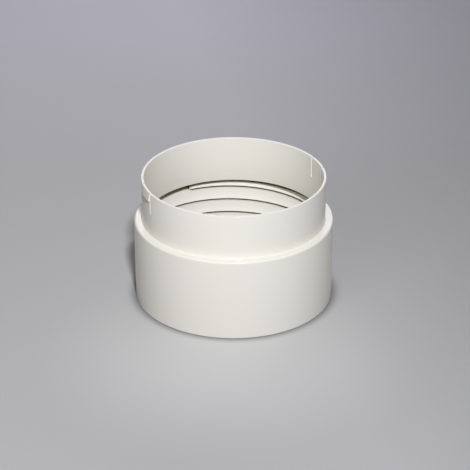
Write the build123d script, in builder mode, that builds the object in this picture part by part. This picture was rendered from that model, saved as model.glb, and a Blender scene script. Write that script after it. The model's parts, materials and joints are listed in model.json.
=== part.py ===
from build123d import *
import os
from math import asin, cos, degrees, radians, sin

# Wall adapter for a portable air conditioner's air hose, moulded in one piece.
# The hose screws into the body from below, and the collar snaps into a round wall opening.
# Millimetres, +Z up, origin on the floor at the middle of the body's open end.

# Sleeve, shoulder and collar
body_diameter = 140.0
body_height = 58.7
shoulder_width = 5.5
collar_height = 31.9
wall = 1.8
shoulder_edge_radius = 1.4
collar_foot_chamfer = 0.4
mouth_chamfer = 0.6
rim_chamfer = 0.3

# Hose thread: one shallow right-hand ridge inside the body, steep below and sloping above
thread_pitch = 10.5
thread_depth = 1.9
thread_crest = 0.5
thread_upper_flank = 3.2
thread_lower_flank = 0.6
thread_lead_in = 8.5
thread_shoulder_gap = 1.8
thread_top_azimuth = 119.0

# Snap tabs: strips of the collar's rim between two slits, each with a barb outside
tab_count = 2
tab_azimuth = 19.8
tab_width = 15.8
slit_width = 1.9
slit_depth = 15.4
barb_drop = 5.8
barb_lead = 0.8
barb_height = 1.1

# Places worked out from the sizes above
body_radius = body_diameter / 2
bore_radius = body_radius - wall
collar_radius = body_radius - shoulder_width
collar_bore_radius = collar_radius - wall
shoulder_underside = body_height - wall
rim_height = body_height + collar_height
crest_radius = bore_radius - thread_depth
thread_flanks = thread_lower_flank + thread_upper_flank
thread_width = thread_flanks + thread_crest
thread_rise = shoulder_underside - thread_shoulder_gap - thread_lead_in - thread_width
thread_turn = 360 * thread_rise / thread_pitch
thread_root = wall / 2
thread_tip = thread_crest * thread_depth / (2 * thread_flanks)
run_out_align = (Align.CENTER, Align.CENTER, Align.MIN)
slit_offset = (tab_width + slit_width) / 2
barb_arc = 2 * degrees(asin(slit_offset / collar_radius))
barb_bottom = rim_height - barb_drop

# Corners of the half section, as radius and height
body_mouth_inner = (bore_radius, 0)
body_mouth_outer = (body_radius, 0)
shoulder_edge = (body_radius, body_height)
collar_foot = (collar_radius, body_height)
rim_outer = (collar_radius, rim_height)
rim_inner = (collar_bore_radius, rim_height)
collar_bore_edge = (collar_bore_radius, shoulder_underside)
body_inner_corner = (bore_radius, shoulder_underside)
rim_corners = (body_mouth_inner, rim_outer, rim_inner)


def radial_plane(azimuth, height=0.0):
    """Upright plane through the axis, with its local X pointing outwards at the azimuth and its local Y up."""
    outward = Vector(cos(radians(azimuth)), sin(radians(azimuth)), 0)
    return Plane(origin=(0, 0, height), x_dir=outward, z_dir=outward.cross(Vector(0, 0, 1)))


def tab_plane(azimuth):
    """Upright plane through the axis at the rim's height, facing outwards at the azimuth, with its local Y up."""
    outward = Vector(cos(radians(azimuth)), sin(radians(azimuth)), 0)
    return Plane(origin=(0, 0, rim_height), x_dir=Vector(0, 0, 1).cross(outward), z_dir=outward)


def run_out_plane(azimuth, height, beyond):
    """Plane on the body's inner wall that leans 45 degrees in from the azimuth, facing the axis and past a thread end."""
    outward = Vector(cos(radians(azimuth)), sin(radians(azimuth)), 0)
    past_end = Vector(0, 0, beyond).cross(outward)
    return Plane(origin=outward * bore_radius + Vector(0, 0, height), x_dir=Vector(0, 0, 1), z_dir=past_end - outward)


def flank_heights(inset):
    """Heights of the ridge's lower and upper flank at a distance inwards from the body's inner wall."""
    share = inset / thread_depth
    return thread_lower_flank * share, thread_width - thread_upper_flank * share


with BuildPart() as hose_thread:
    # Straight-flanked ridge, swept up the helix from inside the wall to a little past its crest
    root_low, root_high = flank_heights(-thread_root)
    tip_low, tip_high = flank_heights(thread_depth + thread_tip)
    with BuildLine():
        Helix(pitch=thread_pitch, height=thread_rise, radius=bore_radius, center=(0, 0, thread_lead_in))
    with BuildSketch(radial_plane(0, thread_lead_in)):
        with BuildLine():
            Polyline(
                (bore_radius + thread_root, root_low),
                (crest_radius - thread_tip, tip_low),
                (crest_radius - thread_tip, tip_high),
                (bore_radius + thread_root, root_high),
                close=True,
            )
        make_face()
    sweep(is_frenet=True)

    # Crest turned to one true diameter
    Cylinder(crest_radius, rim_height, align=(Align.CENTER, Align.CENTER, Align.MIN), mode=Mode.SUBTRACT)

    # Both ends run out into the wall at 45 degrees
    for azimuth, height, beyond in ((0, thread_lead_in, -1), (thread_turn, thread_lead_in + thread_rise, 1)):
        with Locations(run_out_plane(azimuth, height + thread_width / 2, beyond)):
            Box(thread_pitch, thread_pitch, thread_pitch, align=run_out_align, mode=Mode.SUBTRACT)

with BuildPart() as wall_adapter:
    # Turned form: body, shoulder and collar of one wall thickness
    with BuildSketch(radial_plane(0)) as half_section:
        with BuildLine():
            Polyline(
                body_mouth_inner,
                body_mouth_outer,
                shoulder_edge,
                collar_foot,
                rim_outer,
                rim_inner,
                collar_bore_edge,
                body_inner_corner,
                close=True,
            )
        make_face()
        fillet(half_section.vertices().sort_by_distance(shoulder_edge)[0], radius=shoulder_edge_radius)
        chamfer(half_section.vertices().sort_by_distance(collar_foot)[0], length=collar_foot_chamfer)
        chamfer(half_section.vertices().sort_by_distance(body_mouth_outer)[0], length=mouth_chamfer)
        for corner in rim_corners:
            chamfer(half_section.vertices().sort_by_distance(corner)[0], length=rim_chamfer)
    revolve(axis=Axis.Z)

    # Hose thread, rooted in the wall and turned to where it ends under the shoulder
    add(hose_thread.part, rotation=(0, 0, thread_top_azimuth - thread_turn))

    for tab in range(tab_count):
        azimuth = tab_azimuth + 360 * tab / tab_count

        # Barb: a wedge that leans out below the rim and steps back, as wide as the tab
        with BuildSketch(radial_plane(azimuth - barb_arc / 2)):
            with BuildLine():
                Polyline(
                    (collar_bore_radius + wall / 2, rim_height - barb_lead),
                    (collar_radius, rim_height - barb_lead),
                    (collar_radius + barb_height, barb_bottom),
                    (collar_bore_radius + wall / 2, barb_bottom),
                    close=True,
                )
            make_face()
        revolve(axis=Axis.Z, revolution_arc=barb_arc)

        # Slits on either side of the tab, open at the rim and round at the root
        with BuildSketch(tab_plane(azimuth)):
            with Locations((-slit_offset, 0), (slit_offset, 0)):
                Rectangle(slit_width, 2 * (slit_depth - slit_width / 2))
            with Locations((-slit_offset, slit_width / 2 - slit_depth), (slit_offset, slit_width / 2 - slit_depth)):
                Circle(slit_width / 2)
        extrude(amount=collar_radius + 2 * barb_height, mode=Mode.SUBTRACT)

wall_adapter.part.label = "wall_adapter"

os.makedirs("parts", exist_ok=True)
export_step(wall_adapter.part, "parts/wall_adapter.step")
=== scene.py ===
"""Studio scene of a hose-to-wall adapter: one ivory moulding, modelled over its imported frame."""

import json
import logging
import math
from dataclasses import dataclass, field
from enum import Enum
from typing import Any, Iterable, Sequence

import bpy
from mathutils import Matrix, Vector

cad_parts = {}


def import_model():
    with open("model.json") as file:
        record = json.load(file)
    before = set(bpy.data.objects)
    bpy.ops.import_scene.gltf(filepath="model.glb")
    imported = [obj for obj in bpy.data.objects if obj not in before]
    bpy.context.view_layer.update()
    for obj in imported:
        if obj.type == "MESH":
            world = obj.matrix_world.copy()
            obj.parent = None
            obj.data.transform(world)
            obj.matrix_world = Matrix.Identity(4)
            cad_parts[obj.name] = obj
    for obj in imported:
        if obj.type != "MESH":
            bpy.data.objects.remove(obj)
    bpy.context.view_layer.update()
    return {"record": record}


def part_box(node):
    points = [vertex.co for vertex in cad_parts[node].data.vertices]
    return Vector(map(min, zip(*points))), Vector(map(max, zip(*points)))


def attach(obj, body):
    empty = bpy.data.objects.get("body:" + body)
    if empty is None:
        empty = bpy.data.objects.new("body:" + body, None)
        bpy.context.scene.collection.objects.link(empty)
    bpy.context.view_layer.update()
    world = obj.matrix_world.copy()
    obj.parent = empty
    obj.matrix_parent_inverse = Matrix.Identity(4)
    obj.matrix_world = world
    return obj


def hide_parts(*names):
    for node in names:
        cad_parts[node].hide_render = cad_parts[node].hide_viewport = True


LOG = logging.getLogger("wall_adapter_scene")

NODE = "wall_adapter"
BODY = "root"
MILLIMETRE = 0.001
WELD_DISTANCE = MILLIMETRE / 1000
LAMP_AIM = (0.0, 0.0, 0.045)
CORNER_SAMPLES = 32
MOTTLE_DETAIL = {"Cloud": 3.0, "Grain": 2.0}

Point = tuple[float, float]
Triple = tuple[float, float, float]
Colour = tuple[float, float, float, float]


class Join(Enum):
    """How a tool mesh is combined with the moulding."""

    ADD = "UNION"
    CUT = "DIFFERENCE"


class LampRole(Enum):
    """Name of each studio lamp."""

    KEY = "key_softbox"
    LEFT_FILL = "left_fill"
    BACK_FILL = "back_fill"
    REAR_FILL = "low_rear_fill"


class Bench:
    """Modelling steps by operator, each on one mesh object that sits at the origin."""

    @staticmethod
    def deselect() -> None:
        """Leaves object mode with nothing selected."""
        if bpy.context.object is not None and bpy.context.object.mode != "OBJECT":
            bpy.ops.object.mode_set(mode="OBJECT")
        bpy.ops.object.select_all(action="DESELECT")

    @staticmethod
    def take(piece: bpy.types.Object) -> None:
        """Makes one object the only selected one, and active.

        Args:
            piece: The object to work on.
        """
        Bench.deselect()
        piece.select_set(True)
        bpy.context.view_layer.objects.active = piece

    @staticmethod
    def outline(name: str, azimuth: float, corners: Sequence[Point]) -> bpy.types.Object:
        """Draws a closed outline on an upright plane through the axis, from corner to corner.

        Args:
            name: Name of the new object.
            azimuth: Direction of the plane round the axis, in radians.
            corners: Radius and height of each corner, in order.

        Returns:
            The new object, a wire loop with its place in its mesh.
        """
        places = [Bench.place(azimuth, radius, height) for radius, height in corners]
        Bench.deselect()
        bpy.ops.mesh.primitive_plane_add(size=MILLIMETRE)
        wire = bpy.context.active_object
        wire.name = name
        bpy.ops.object.mode_set(mode="EDIT")
        bpy.ops.mesh.select_all(action="SELECT")
        bpy.ops.mesh.merge(type="CENTER")
        bpy.ops.transform.translate(value=places[0])
        for start, end in zip(places, places[1:] + places[:1]):
            bpy.ops.mesh.extrude_vertices_move(TRANSFORM_OT_translate={"value": end - start})
        bpy.ops.mesh.select_all(action="SELECT")
        bpy.ops.mesh.remove_doubles(threshold=WELD_DISTANCE)
        bpy.ops.object.mode_set(mode="OBJECT")
        return wire

    @staticmethod
    def place(azimuth: float, radius: float, height: float) -> Vector:
        """Point at an azimuth, radius and height.

        Args:
            azimuth: Direction round the axis, in radians.
            radius: Distance from the axis.
            height: Height above the floor.

        Returns:
            The point.
        """
        return Vector((radius * math.cos(azimuth), radius * math.sin(azimuth), height))

    @staticmethod
    def round_corner(wire: bpy.types.Object, corner: Vector, radius: float, segments: int) -> None:
        """Rounds one corner of a wire outline by a vertex bevel.

        Args:
            wire: The outline.
            corner: Where the corner is.
            radius: Radius of the rounding.
            segments: Straight steps in the rounding.
        """
        Bench.take(wire)
        bpy.ops.object.mode_set(mode="EDIT")
        bpy.ops.mesh.select_all(action="DESELECT")
        bpy.ops.object.mode_set(mode="OBJECT")
        nearest = min(wire.data.vertices, key=lambda vertex: (vertex.co - corner).length)
        nearest.select = True
        bpy.ops.object.mode_set(mode="EDIT")
        bpy.ops.mesh.bevel(offset=radius, segments=segments, affect="VERTICES")
        bpy.ops.object.mode_set(mode="OBJECT")

    @staticmethod
    def spin(wire: bpy.types.Object, angle: float, steps: int) -> None:
        """Turns an outline round the axis, anticlockwise from above, into a closed solid.

        Args:
            wire: The outline, which becomes the solid.
            angle: How far it turns, in radians; the operator counts it clockwise.
            steps: Steps over that angle.
        """
        Bench.take(wire)
        bpy.ops.object.mode_set(mode="EDIT")
        bpy.ops.mesh.select_all(action="SELECT")
        bpy.ops.mesh.spin(steps=steps, angle=-angle, center=(0, 0, 0), axis=(0, 0, 1))
        Bench.close(wire)

    @staticmethod
    def close(solid: bpy.types.Object) -> None:
        """Merges doubles, fills open ends and points the faces outwards.

        Args:
            solid: The mesh to close.
        """
        Bench.take(solid)
        bpy.ops.object.mode_set(mode="EDIT")
        bpy.ops.mesh.select_all(action="SELECT")
        bpy.ops.mesh.remove_doubles(threshold=WELD_DISTANCE)
        bpy.ops.mesh.fill_holes(sides=0)
        bpy.ops.mesh.select_all(action="SELECT")
        bpy.ops.mesh.normals_make_consistent(inside=False)
        bpy.ops.object.mode_set(mode="OBJECT")

    @staticmethod
    def apply(piece: bpy.types.Object, modifier: bpy.types.Modifier) -> None:
        """Applies one modifier.

        Args:
            piece: The object that has it.
            modifier: The modifier to apply.
        """
        Bench.take(piece)
        bpy.ops.object.modifier_apply(modifier=modifier.name)

    @staticmethod
    def combine(piece: bpy.types.Object, tool: bpy.types.Object, join: Join) -> None:
        """Adds a tool mesh to a piece or cuts it away, and removes the tool.

        Args:
            piece: The piece that stays.
            tool: The closed mesh that is used up.
            join: Whether it is added or cut away.
        """
        modifier = piece.modifiers.new(join.name.lower(), "BOOLEAN")
        modifier.operation = join.value
        modifier.solver = "EXACT"
        modifier.object = tool
        Bench.apply(piece, modifier)
        bpy.data.objects.remove(tool, do_unlink=True)


@dataclass(frozen=True)
class AdapterSizes:
    """Main radii and heights of the moulding, in metres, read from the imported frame."""

    body_radius: float
    shoulder_height: float
    collar_radius: float
    collar_bore_radius: float
    crest_radius: float
    rim_height: float

    @classmethod
    def from_frame(cls, record: dict[str, Any]) -> "AdapterSizes":
        """Reads the sizes from the node's box and the record's mounts.

        Args:
            record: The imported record.

        Returns:
            The sizes.
        """
        mounts = {mount["name"]: mount for mount in record["mounts"]}
        low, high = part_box(NODE)
        return cls(
            body_radius=(high.x - low.x) / 2,
            shoulder_height=mounts["shoulder_seat"]["pos_m"][2],
            collar_radius=mounts["snap_collar"]["dims"]["r_mm"] * MILLIMETRE,
            collar_bore_radius=mounts["collar_bore"]["dims"]["r_mm"] * MILLIMETRE,
            crest_radius=mounts["hose_thread"]["dims"]["r_mm"] * MILLIMETRE,
            rim_height=high.z,
        )

    @property
    def wall(self) -> float:
        """Thickness of the moulding."""
        return self.collar_radius - self.collar_bore_radius

    @property
    def bore_radius(self) -> float:
        """Inner radius of the body."""
        return self.body_radius - self.wall

    @property
    def underside(self) -> float:
        """Height of the shoulder's lower face."""
        return self.shoulder_height - self.wall


@dataclass(frozen=True)
class HoseThread:
    """Helical ridge inside the body, in metres and degrees."""

    pitch: float = 0.0105
    crest: float = 0.0005
    upper_flank: float = 0.0032
    lower_flank: float = 0.0006
    lead_in: float = 0.0085
    shoulder_gap: float = 0.0018
    top_azimuth: float = 119.0
    crest_rounding: float = 0.00025
    rounding_segments: int = 3
    steps_per_turn: int = 240

    def build(self, sizes: AdapterSizes) -> bpy.types.Object:
        """Winds the ridge's section up its helix.

        Args:
            sizes: The moulding's main sizes.

        Returns:
            The ridge as a closed mesh, rooted in the wall.
        """
        depth = sizes.bore_radius - sizes.crest_radius
        root = sizes.wall / 2
        width = self.lower_flank + self.crest + self.upper_flank
        rise = sizes.underside - self.shoulder_gap - self.lead_in - width
        turn = 2 * math.pi * rise / self.pitch
        start = math.radians(self.top_azimuth) - turn
        low_root = self.lead_in - self.lower_flank * root / depth
        high_root = self.lead_in + width + self.upper_flank * root / depth
        corners = (
            (sizes.bore_radius + root, low_root),
            (sizes.crest_radius, self.lead_in + self.lower_flank),
            (sizes.crest_radius, self.lead_in + self.lower_flank + self.crest),
            (sizes.bore_radius + root, high_root),
        )
        ridge = Bench.outline("hose_thread", start, corners)
        for radius, height in corners[1:3]:
            corner = Bench.place(start, radius, height)
            Bench.round_corner(ridge, corner, self.crest_rounding, self.rounding_segments)
        helix = ridge.modifiers.new("helix", "SCREW")
        helix.axis = "Z"
        helix.angle = turn
        helix.screw_offset = rise
        helix.steps = round(self.steps_per_turn * turn / (2 * math.pi))
        helix.render_steps = helix.steps
        Bench.apply(ridge, helix)
        Bench.close(ridge)
        middle = self.lead_in + width / 2
        for azimuth, height, beyond in ((start, middle, -1), (start + turn, middle + rise, 1)):
            Bench.combine(ridge, self.build_run_out(sizes, azimuth, height, beyond), Join.CUT)
        return ridge

    def build_run_out(
        self, sizes: AdapterSizes, azimuth: float, height: float, beyond: int
    ) -> bpy.types.Object:
        """Shapes the cutter that runs one end of the ridge out into the wall at 45 degrees.

        Args:
            sizes: The moulding's main sizes.
            azimuth: Direction of the ridge's end, in radians.
            height: Height of the ridge's middle there.
            beyond: -1 or 1, the way round the axis that leads past the end.

        Returns:
            The cutter as a closed mesh.
        """
        Bench.deselect()
        bpy.ops.mesh.primitive_cube_add(size=self.pitch)
        cutter = bpy.context.active_object
        cutter.name = "run_out"
        bpy.ops.object.mode_set(mode="EDIT")
        bpy.ops.mesh.select_all(action="SELECT")
        bpy.ops.transform.translate(value=(-self.pitch / 2, 0.0, 0.0))
        bpy.ops.object.mode_set(mode="OBJECT")
        cutter.location = Bench.place(azimuth, sizes.bore_radius, height)
        cutter.rotation_euler.z = azimuth - beyond * math.pi / 4
        bpy.ops.object.transform_apply(location=True, rotation=True, scale=False)
        return cutter


@dataclass(frozen=True)
class SnapTabs:
    """Two opposite strips of the collar's rim, freed by slits and barbed outside.

    Lengths are in metres and angles in degrees. The slit cutter's length is in wall thicknesses.
    The rounding of its root is a share of half its width, short of 1 so that its bevels don't meet.
    """

    count: int = 2
    azimuth: float = 19.8
    width: float = 0.0158
    slit_width: float = 0.0019
    slit_depth: float = 0.0154
    slit_segments: int = 12
    slit_walls: float = 4.0
    slit_roundness: float = 0.999
    barb_drop: float = 0.0058
    barb_lead: float = 0.0008
    barb_height: float = 0.0011
    barb_rounding: float = 0.00015
    barb_rounding_segments: int = 3
    barb_steps: int = 24

    def azimuths(self) -> list[float]:
        """Directions of the tabs, in radians."""
        return [math.radians(self.azimuth + 360 * tab / self.count) for tab in range(self.count)]

    @property
    def slit_offset(self) -> float:
        """Distance of a slit's middle from the tab's middle."""
        return (self.width + self.slit_width) / 2

    def build_barb(self, sizes: AdapterSizes, azimuth: float) -> bpy.types.Object:
        """Turns a barb, a wedge that leans out below the rim and steps back.

        Args:
            sizes: The moulding's main sizes.
            azimuth: Direction of the tab's middle, in radians.

        Returns:
            The barb as a closed mesh, rooted in the collar.
        """
        arc = 2 * math.asin(self.slit_offset / sizes.collar_radius)
        start = azimuth - arc / 2
        root = sizes.collar_bore_radius + sizes.wall / 2
        top = sizes.rim_height - self.barb_lead
        bottom = sizes.rim_height - self.barb_drop
        tip = sizes.collar_radius + self.barb_height
        corners = ((root, top), (sizes.collar_radius, top), (tip, bottom), (root, bottom))
        barb = Bench.outline("barb", start, corners)
        corner = Bench.place(start, tip, bottom)
        Bench.round_corner(barb, corner, self.barb_rounding, self.barb_rounding_segments)
        Bench.spin(barb, arc, self.barb_steps)
        return barb

    def build_slit(self, sizes: AdapterSizes, azimuth: float, side: int) -> bpy.types.Object:
        """Shapes the cutter of one slit, open at the rim and round at its root.

        Args:
            sizes: The moulding's main sizes.
            azimuth: Direction of the tab's middle, in radians.
            side: -1 or 1, the side of the tab that the slit is on.

        Returns:
            The cutter as a closed mesh.
        """
        reach = self.slit_walls * sizes.wall
        rounding = self.slit_roundness * self.slit_width / 2
        Bench.deselect()
        bpy.ops.mesh.primitive_cube_add(size=1)
        cutter = bpy.context.active_object
        cutter.name = "slit"
        bpy.ops.object.mode_set(mode="EDIT")
        bpy.ops.mesh.select_all(action="SELECT")
        bpy.ops.transform.resize(value=(reach, self.slit_width, 2 * self.slit_depth))
        bpy.ops.object.mode_set(mode="OBJECT")
        for edge in cutter.data.edges:
            ends = [cutter.data.vertices[index].co for index in edge.vertices]
            edge.select = all(end.z < 0 for end in ends) and abs(ends[0].x - ends[1].x) > reach / 2
        for vertex in cutter.data.vertices:
            vertex.select = False
        bpy.ops.object.mode_set(mode="EDIT")
        bpy.ops.mesh.select_mode(type="EDGE")
        bpy.ops.mesh.bevel(offset=rounding, segments=self.slit_segments)
        bpy.ops.mesh.select_mode(type="VERT")
        bpy.ops.mesh.select_all(action="SELECT")
        middle = (sizes.collar_bore_radius + sizes.collar_radius) / 2
        bpy.ops.transform.translate(value=(middle, side * self.slit_offset, sizes.rim_height))
        bpy.ops.object.mode_set(mode="OBJECT")
        cutter.rotation_euler.z = azimuth
        bpy.ops.object.transform_apply(location=False, rotation=True, scale=False)
        return cutter


@dataclass(frozen=True)
class ShellRoundings:
    """Radii of the shell's rounded corners, in metres."""

    shoulder_edge: float = 0.0014
    collar_foot: float = 0.0005
    mouth: float = 0.0004
    rim: float = 0.0003
    inner_corner: float = 0.0006


@dataclass
class WallAdapter:
    """The whole moulding: turned shell, hose thread, barbs and slits."""

    sizes: AdapterSizes
    roundings: ShellRoundings = field(default_factory=ShellRoundings)
    thread: HoseThread = field(default_factory=HoseThread)
    tabs: SnapTabs = field(default_factory=SnapTabs)
    segments: int = 360
    small_rounding_segments: int = 4
    large_rounding_segments: int = 8
    smooth_angle: float = 32.0

    def build_shell(self) -> bpy.types.Object:
        """Turns the body, shoulder and collar from one half section.

        Returns:
            The shell as a closed mesh.
        """
        s, r = self.sizes, self.roundings
        rounded = (
            ((s.bore_radius, 0.0), r.rim),
            ((s.body_radius, 0.0), r.mouth),
            ((s.body_radius, s.shoulder_height), r.shoulder_edge),
            ((s.collar_radius, s.shoulder_height), r.collar_foot),
            ((s.collar_radius, s.rim_height), r.rim),
            ((s.collar_bore_radius, s.rim_height), r.rim),
            ((s.collar_bore_radius, s.underside), r.rim),
            ((s.bore_radius, s.underside), r.inner_corner),
        )
        shell = Bench.outline("moulded_adapter", 0.0, [corner for corner, _ in rounded])
        for (radius, height), rounding in rounded:
            large = rounding > r.rim
            segments = self.large_rounding_segments if large else self.small_rounding_segments
            Bench.round_corner(shell, Bench.place(0.0, radius, height), rounding, segments)
        Bench.spin(shell, 2 * math.pi, self.segments)
        return shell

    def build(self) -> bpy.types.Object:
        """Builds the moulding and shades it smooth between its edges.

        Returns:
            The finished piece.
        """
        adapter = self.build_shell()
        Bench.combine(adapter, self.thread.build(self.sizes), Join.ADD)
        for azimuth in self.tabs.azimuths():
            Bench.combine(adapter, self.tabs.build_barb(self.sizes, azimuth), Join.ADD)
            for side in (-1, 1):
                Bench.combine(adapter, self.tabs.build_slit(self.sizes, azimuth, side), Join.CUT)
        Bench.take(adapter)
        bpy.ops.object.shade_smooth_by_angle(angle=math.radians(self.smooth_angle))
        return adapter


class Shaders:
    """Builds the node groups that the materials share."""

    @staticmethod
    def mottle_group() -> bpy.types.NodeTree:
        """Builds the group of soft clouds and fine grain that every surface shares.

        Returns:
            The group, with inputs Vector, Cloud Scale and Grain Scale and outputs Cloud and Grain.
        """
        group = bpy.data.node_groups.new("soft_mottle", "ShaderNodeTree")
        group.interface.new_socket("Vector", in_out="INPUT", socket_type="NodeSocketVector")
        group.interface.new_socket("Cloud Scale", in_out="INPUT", socket_type="NodeSocketFloat")
        group.interface.new_socket("Grain Scale", in_out="INPUT", socket_type="NodeSocketFloat")
        group.interface.new_socket("Cloud", in_out="OUTPUT", socket_type="NodeSocketFloat")
        group.interface.new_socket("Grain", in_out="OUTPUT", socket_type="NodeSocketFloat")
        nodes, links = group.nodes, group.links
        entry = nodes.new("NodeGroupInput")
        leave = nodes.new("NodeGroupOutput")
        for name, detail in MOTTLE_DETAIL.items():
            noise = nodes.new("ShaderNodeTexNoise")
            noise.inputs["Detail"].default_value = detail
            links.new(entry.outputs["Vector"], noise.inputs["Vector"])
            links.new(entry.outputs[f"{name} Scale"], noise.inputs["Scale"])
            links.new(noise.outputs["Fac"], leave.inputs[name])
        return group

    @staticmethod
    def corner_group() -> bpy.types.NodeTree:
        """Builds the group that finds inner corners, and narrow gaps between neighbours, where
        shade is painted.

        Returns:
            The group, with inputs Reach, Open and Closed and output Mask, 1 in a closed corner.
        """
        group = bpy.data.node_groups.new("closed_corners", "ShaderNodeTree")
        for socket in ("Reach", "Open", "Closed"):
            group.interface.new_socket(socket, in_out="INPUT", socket_type="NodeSocketFloat")
        group.interface.new_socket("Mask", in_out="OUTPUT", socket_type="NodeSocketFloat")
        nodes, links = group.nodes, group.links
        entry = nodes.new("NodeGroupInput")
        leave = nodes.new("NodeGroupOutput")
        openness = nodes.new("ShaderNodeAmbientOcclusion")
        openness.samples = CORNER_SAMPLES
        links.new(entry.outputs["Reach"], openness.inputs["Distance"])
        level = nodes.new("ShaderNodeMapRange")
        level.interpolation_type = "SMOOTHSTEP"
        links.new(openness.outputs["AO"], level.inputs["Value"])
        links.new(entry.outputs["Open"], level.inputs["From Min"])
        links.new(entry.outputs["Closed"], level.inputs["From Max"])
        links.new(level.outputs["Result"], leave.inputs["Mask"])
        return group


@dataclass(frozen=True)
class RingZone:
    """Ring of space round the axis, in metres."""

    inner: float
    outer: float
    bottom: float
    top: float

    def keep(
        self, tree: bpy.types.NodeTree, place: bpy.types.NodeSocket, mask: bpy.types.NodeSocket
    ) -> bpy.types.NodeSocket:
        """Clears a mask outside the ring.

        Args:
            tree: The material's node tree.
            place: The object coordinates.
            mask: The mask that is cleared.

        Returns:
            The mask inside the ring, and 0 outside it.
        """
        nodes, links = tree.nodes, tree.links
        axes = nodes.new("ShaderNodeSeparateXYZ")
        links.new(place, axes.inputs[0])
        across = nodes.new("ShaderNodeCombineXYZ")
        links.new(axes.outputs["X"], across.inputs["X"])
        links.new(axes.outputs["Y"], across.inputs["Y"])
        radius = nodes.new("ShaderNodeVectorMath")
        radius.operation = "LENGTH"
        links.new(across.outputs[0], radius.inputs[0])
        limits = (
            (radius.outputs["Value"], "GREATER_THAN", self.inner),
            (radius.outputs["Value"], "LESS_THAN", self.outer),
            (axes.outputs["Z"], "GREATER_THAN", self.bottom),
            (axes.outputs["Z"], "LESS_THAN", self.top),
        )
        for distance, side, limit in limits:
            inside = nodes.new("ShaderNodeMath")
            inside.operation = side
            inside.inputs[1].default_value = limit
            links.new(distance, inside.inputs[0])
            kept = nodes.new("ShaderNodeMath")
            kept.operation = "MULTIPLY"
            links.new(mask, kept.inputs[0])
            links.new(inside.outputs["Value"], kept.inputs[1])
            mask = kept.outputs["Value"]
        return mask


@dataclass(frozen=True)
class CornerShade:
    """Painted shade: a darker colour laid where a surface closes in on itself or on a neighbour, in
    metres.
    """

    colour: Colour
    reach: float
    open_level: float
    closed_level: float
    zone: RingZone | None = None

    def lay(
        self,
        tree: bpy.types.NodeTree,
        group: bpy.types.NodeTree,
        place: bpy.types.NodeSocket,
        colour: bpy.types.NodeSocket,
    ) -> bpy.types.NodeSocket:
        """Lays the painted shade over a colour, inside its zone if it has one.

        Args:
            tree: The material's node tree.
            group: The shared group that finds corners.
            place: The object coordinates.
            colour: The colour that is shaded.

        Returns:
            The shaded colour.
        """
        nodes, links = tree.nodes, tree.links
        corner = nodes.new("ShaderNodeGroup")
        corner.node_tree = group
        corner.inputs["Reach"].default_value = self.reach
        corner.inputs["Open"].default_value = self.open_level
        corner.inputs["Closed"].default_value = self.closed_level
        mask = corner.outputs["Mask"]
        if self.zone is not None:
            mask = self.zone.keep(tree, place, mask)
        shaded = nodes.new("ShaderNodeMix")
        shaded.data_type = "RGBA"
        links.new(mask, shaded.inputs["Factor"])
        links.new(colour, shaded.inputs["A"])
        shaded.inputs["B"].default_value = self.colour
        return shaded.outputs["Result"]


@dataclass(frozen=True)
class PaintedFloorLight:
    """Painted light on the floor paper, in metres, as factors on its colour: brighter and bluer
    towards the back, darker to the right, and a round pool of light before the part.
    """

    back: Colour
    back_range: Point
    right: Colour
    right_along: Triple
    right_range: Point
    pool: Colour
    pool_middle: Triple
    pool_range: Point

    def lay(
        self, tree: bpy.types.NodeTree, place: bpy.types.NodeSocket, colour: bpy.types.NodeSocket
    ) -> bpy.types.NodeSocket:
        """Paints light into a colour: brighter towards the back, darker to the right and a round
        pool of light.

        Args:
            tree: The material's node tree.
            place: The object coordinates.
            colour: The colour that the light is painted into.

        Returns:
            The colour with the painted light.
        """
        nodes, links = tree.nodes, tree.links
        axes = nodes.new("ShaderNodeSeparateXYZ")
        links.new(place, axes.inputs[0])
        across = nodes.new("ShaderNodeVectorMath")
        across.operation = "DOT_PRODUCT"
        across.inputs[1].default_value = self.right_along
        links.new(place, across.inputs[0])
        away = nodes.new("ShaderNodeVectorMath")
        away.operation = "DISTANCE"
        away.inputs[1].default_value = self.pool_middle
        links.new(place, away.inputs[0])
        steps = (
            (axes.outputs["Y"], self.back_range, self.back, "LINEAR"),
            (across.outputs["Value"], self.right_range, self.right, "LINEAR"),
            (away.outputs["Value"], self.pool_range, self.pool, "SMOOTHSTEP"),
        )
        # Each step multiplies in one painted light factor over its range.
        for distance, (start, end), light_factor, blend in steps:
            share = nodes.new("ShaderNodeMapRange")
            share.interpolation_type = blend
            share.inputs["From Min"].default_value = start
            share.inputs["From Max"].default_value = end
            links.new(distance, share.inputs["Value"])
            lit_colour = nodes.new("ShaderNodeMix")
            lit_colour.data_type = "RGBA"
            lit_colour.blend_type = "MULTIPLY"
            lit_colour.inputs["B"].default_value = light_factor
            links.new(share.outputs["Result"], lit_colour.inputs["Factor"])
            links.new(colour, lit_colour.inputs["A"])
            colour = lit_colour.outputs["Result"]
        return colour


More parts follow.
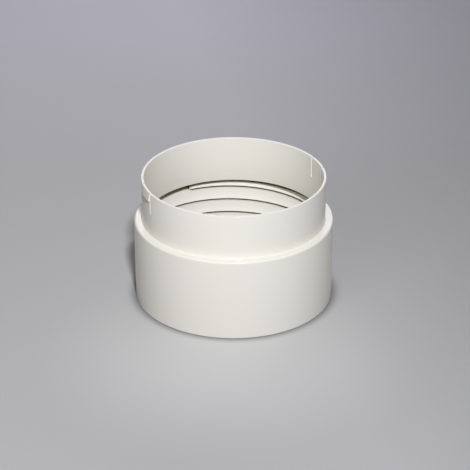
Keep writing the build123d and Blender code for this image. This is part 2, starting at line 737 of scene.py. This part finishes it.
@dataclass(frozen=True)
class MottledFinish:
    """A matt or satin surface with soft clouds of colour and a fine grain, with painted light and
    painted shade where it has them.
    """

    name: str
    light: Colour
    dark: Colour
    smooth: float
    rough: float
    cloud_scale: float
    grain_scale: float
    bump_strength: float
    bump_distance: float
    shades: tuple[CornerShade, ...]
    specular: float = 0.5
    softness: float = 0.0
    painted_light: PaintedFloorLight | None = None
    bounce: Colour | None = None

    def build(self, mottle: bpy.types.NodeTree, corners: bpy.types.NodeTree) -> bpy.types.Material:
        """Builds the material.

        Args:
            mottle: The shared group of clouds and grain.
            corners: The shared group that finds corners.

        Returns:
            The material.
        """
        material = bpy.data.materials.new(self.name)
        material.use_nodes = True
        nodes, links = material.node_tree.nodes, material.node_tree.links
        shader = nodes["Principled BSDF"]
        shader.inputs["Specular IOR Level"].default_value = self.specular
        shader.inputs["Diffuse Roughness"].default_value = self.softness
        place = nodes.new("ShaderNodeTexCoord")
        group = nodes.new("ShaderNodeGroup")
        group.node_tree = mottle
        group.inputs["Cloud Scale"].default_value = self.cloud_scale
        group.inputs["Grain Scale"].default_value = self.grain_scale
        links.new(place.outputs["Object"], group.inputs["Vector"])
        tint = nodes.new("ShaderNodeMix")
        tint.data_type = "RGBA"
        tint.inputs["A"].default_value = self.dark
        tint.inputs["B"].default_value = self.light
        links.new(group.outputs["Cloud"], tint.inputs["Factor"])
        seen = tint.outputs["Result"]
        # Painted light on the floor, where the finish has it.
        if self.painted_light is not None:
            seen = self.painted_light.lay(material.node_tree, place.outputs["Object"], seen)
        # Painted shade in corners, gaps and under overhangs.
        for shade in self.shades:
            seen = shade.lay(material.node_tree, corners, place.outputs["Object"], seen)
        if self.bounce is not None:
            seen = self.quieten(material.node_tree, seen)
        links.new(seen, shader.inputs["Base Color"])
        gloss = nodes.new("ShaderNodeMapRange")
        gloss.inputs["To Min"].default_value = self.smooth
        gloss.inputs["To Max"].default_value = self.rough
        links.new(group.outputs["Grain"], gloss.inputs["Value"])
        links.new(gloss.outputs["Result"], shader.inputs["Roughness"])
        bump = nodes.new("ShaderNodeBump")
        bump.inputs["Strength"].default_value = self.bump_strength
        bump.inputs["Distance"].default_value = self.bump_distance
        links.new(group.outputs["Grain"], bump.inputs["Height"])
        links.new(bump.outputs["Normal"], shader.inputs["Normal"])
        return material

    def quieten(
        self, tree: bpy.types.NodeTree, colour: bpy.types.NodeSocket
    ) -> bpy.types.NodeSocket:
        """Keeps a colour as it is seen, and gives light thrown on other surfaces the bounce colour.

        Args:
            tree: The material's node tree.
            colour: The colour as the camera and reflections see it.

        Returns:
            The colour to use.
        """
        path = tree.nodes.new("ShaderNodeLightPath")
        seen = tree.nodes.new("ShaderNodeMath")
        seen.operation = "MAXIMUM"
        tree.links.new(path.outputs["Is Camera Ray"], seen.inputs[0])
        tree.links.new(path.outputs["Is Glossy Ray"], seen.inputs[1])
        dim = tree.nodes.new("ShaderNodeMix")
        dim.data_type = "RGBA"
        dim.inputs["A"].default_value = self.bounce
        tree.links.new(seen.outputs["Value"], dim.inputs["Factor"])
        tree.links.new(colour, dim.inputs["B"])
        return dim.outputs["Result"]


@dataclass(frozen=True)
class Lamp:
    """A square studio softbox, aimed at a point."""

    role: LampRole
    place: Triple
    side: float
    watts: float
    colour: Triple
    aim: Triple = LAMP_AIM

    def build(self) -> bpy.types.Object:
        """Adds the lamp.

        Returns:
            The lamp object.
        """
        Bench.deselect()
        bpy.ops.object.light_add(type="AREA", location=self.place)
        lamp = bpy.context.active_object
        lamp.name = self.role.value
        lamp.data.shape = "SQUARE"
        lamp.data.size = self.side
        lamp.data.energy = self.watts
        lamp.data.color = self.colour
        beam = Vector(self.aim) - Vector(self.place)
        lamp.rotation_euler = beam.to_track_quat("-Z", "Y").to_euler()
        return lamp


@dataclass
class Studio:
    """Pale floor, soft lamps, even surround and the photograph's camera."""

    floor_side: float = 12.0
    camera_place: Triple = (0.000895, -1.21304, 0.66758)
    camera_down: float = 27.2147
    focal_px: float = 1928.6
    image_px: float = 470.0
    sensor: float = 36.0
    surround: Colour = (0.40, 0.40, 0.42, 1.0)
    surround_strength: float = 0.02
    backdrop: Colour = (0.42, 0.42, 0.44, 1.0)
    lamps: tuple[Lamp, ...] = (
        Lamp(LampRole.KEY, (0.263, -2.142, 2.129), 0.24, 82.0, (1.0, 1.0, 1.27)),
        Lamp(LampRole.LEFT_FILL, (-0.549, -1.177, 0.795), 0.9, 5.0, (1.0, 1.0, 1.18)),
        Lamp(LampRole.BACK_FILL, (-0.250, 0.93, 1.17), 0.9, 1.4, (1.0, 0.97, 1.04)),
        Lamp(LampRole.REAR_FILL, (0.15, 1.50, 0.40), 1.0, 7.0, (1.0, 0.99, 1.24)),
    )

    def build_floor(self, finish: bpy.types.Material) -> bpy.types.Object:
        """Lays the floor.

        Args:
            finish: The floor's material.

        Returns:
            The floor, which isn't part of the object.
        """
        Bench.deselect()
        bpy.ops.mesh.primitive_plane_add(size=self.floor_side)
        floor = bpy.context.active_object
        floor.name = "studio_floor"
        floor.data.materials.append(finish)
        return floor

    def build_surround(self) -> None:
        """Fills the world with an even grey, a little brighter where the camera sees it."""
        world = bpy.data.worlds.new("studio_surround")
        world.use_nodes = True
        nodes, links = world.node_tree.nodes, world.node_tree.links
        nodes.clear()
        path = nodes.new("ShaderNodeLightPath")
        lit = nodes.new("ShaderNodeBackground")
        lit.inputs["Color"].default_value = self.surround
        lit.inputs["Strength"].default_value = self.surround_strength
        seen = nodes.new("ShaderNodeBackground")
        seen.inputs["Color"].default_value = self.backdrop
        mix = nodes.new("ShaderNodeMixShader")
        out = nodes.new("ShaderNodeOutputWorld")
        links.new(path.outputs["Is Camera Ray"], mix.inputs["Fac"])
        links.new(lit.outputs["Background"], mix.inputs[1])
        links.new(seen.outputs["Background"], mix.inputs[2])
        links.new(mix.outputs["Shader"], out.inputs["Surface"])
        bpy.context.scene.world = world

    def build_camera(self) -> bpy.types.Object:
        """Sets up the camera at the photograph's viewpoint.

        Returns:
            The camera.
        """
        Bench.deselect()
        bpy.ops.object.camera_add(location=self.camera_place)
        camera = bpy.context.active_object
        camera.name = "studio_camera"
        camera.rotation_euler = (math.radians(90 - self.camera_down), 0.0, 0.0)
        camera.data.sensor_width = self.sensor
        camera.data.lens = self.focal_px * self.sensor / self.image_px
        bpy.context.scene.camera = camera
        return camera

    def build(self, floor_finish: bpy.types.Material) -> None:
        """Builds the whole studio.

        Args:
            floor_finish: The floor's material.
        """
        self.build_floor(floor_finish)
        for lamp in self.lamps:
            lamp.build()
        self.build_surround()
        self.build_camera()
        bpy.context.scene.view_settings.view_transform = "Standard"


# Reach of the painted shade zones inside the moulding: above the shoulder's underside, into the
# bore's wall, and down from the underside.
SHADE_OVERLAP = 0.1 * MILLIMETRE
SHADE_DEPTH = 0.3 * MILLIMETRE
SHADE_DROP = 6.4 * MILLIMETRE
# Painted contact shadow: the floor darkened where it closes in on the moulding's foot.
CONTACT_SHADE = CornerShade(
    colour=(0.18, 0.18, 0.157, 1.0),
    reach=0.009,
    open_level=1.0,
    closed_level=0.35,
)
# Painted light on the floor: brighter and bluer towards the back, darker to the right, and a
# painted pool of light just in front of the moulding.
PAINTED_FLOOR_LIGHT = PaintedFloorLight(
    back=(1.15, 1.125, 1.235, 1.0),
    back_range=(0.19, 0.51),
    right=(0.60, 0.60, 0.60, 1.0),
    right_along=(0.983, 0.181, 0.0),
    right_range=(0.05, 0.33),
    pool=(1.32, 1.32, 1.32, 1.0),
    pool_middle=(-0.006, -0.104, 0.0),
    pool_range=(0.136, 0.0),
)
GREY_PAPER = MottledFinish(
    name="grey_paper_floor",
    light=(0.486, 0.486, 0.403, 1.0),
    dark=(0.466, 0.466, 0.386, 1.0),
    smooth=0.75,
    rough=0.85,
    cloud_scale=3.0,
    grain_scale=400.0,
    bump_strength=0.03,
    bump_distance=0.0002,
    shades=(CONTACT_SHADE,),
    specular=0.2,
    painted_light=PAINTED_FLOOR_LIGHT,
    bounce=(0.20, 0.187, 0.16, 1.0),
)


def ivory_plastic(sizes: AdapterSizes) -> MottledFinish:
    """Sets up the moulding's finish, with painted shade in the thread's corners and a painted
    shadow under the shoulder.

    Args:
        sizes: The moulding's main sizes.

    Returns:
        The finish.
    """
    outer = sizes.body_radius - MILLIMETRE
    top = sizes.underside + SHADE_OVERLAP
    # Painted shade: dark brown in the thread's corners, below each ridge.
    thread_shade = CornerShade(
        colour=(0.125, 0.088, 0.034, 1.0),
        reach=0.004,
        open_level=0.90,
        closed_level=0.77,
        zone=RingZone(inner=0.0, outer=outer, bottom=-MILLIMETRE, top=top),
    )
    # Painted shadow: dark brown on the wall just under the shoulder's lip.
    shoulder_shade = CornerShade(
        colour=(0.110, 0.066, 0.016, 1.0),
        reach=0.010,
        open_level=0.90,
        closed_level=0.72,
        zone=RingZone(
            inner=sizes.bore_radius - SHADE_DEPTH,
            outer=outer,
            bottom=sizes.underside - SHADE_DROP,
            top=top,
        ),
    )
    return MottledFinish(
        name="ivory_moulded_plastic",
        light=(0.815, 0.803, 0.618, 1.0),
        dark=(0.795, 0.781, 0.596, 1.0),
        smooth=0.11,
        rough=0.16,
        cloud_scale=22.0,
        grain_scale=900.0,
        bump_strength=0.05,
        bump_distance=0.0002,
        shades=(thread_shade, shoulder_shade),
        specular=0.22,
        softness=0.11,
    )


def main() -> None:
    logging.basicConfig(level=logging.INFO, format="%(name)s: %(message)s")
    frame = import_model()
    mottle = Shaders.mottle_group()
    corners = Shaders.corner_group()

    sizes = AdapterSizes.from_frame(frame["record"])
    adapter = WallAdapter(sizes).build()
    adapter.data.materials.clear()
    adapter.data.materials.append(ivory_plastic(sizes).build(mottle, corners))
    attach(adapter, BODY)
    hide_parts(NODE)
    mesh = adapter.data
    LOG.info("%s: %d vertices, %d faces", adapter.name, len(mesh.vertices), len(mesh.polygons))

    Studio().build(GREY_PAPER.build(mottle, corners))
    LOG.info("studio: floor, lamps, surround and camera")


if __name__ == "__main__":
    main()
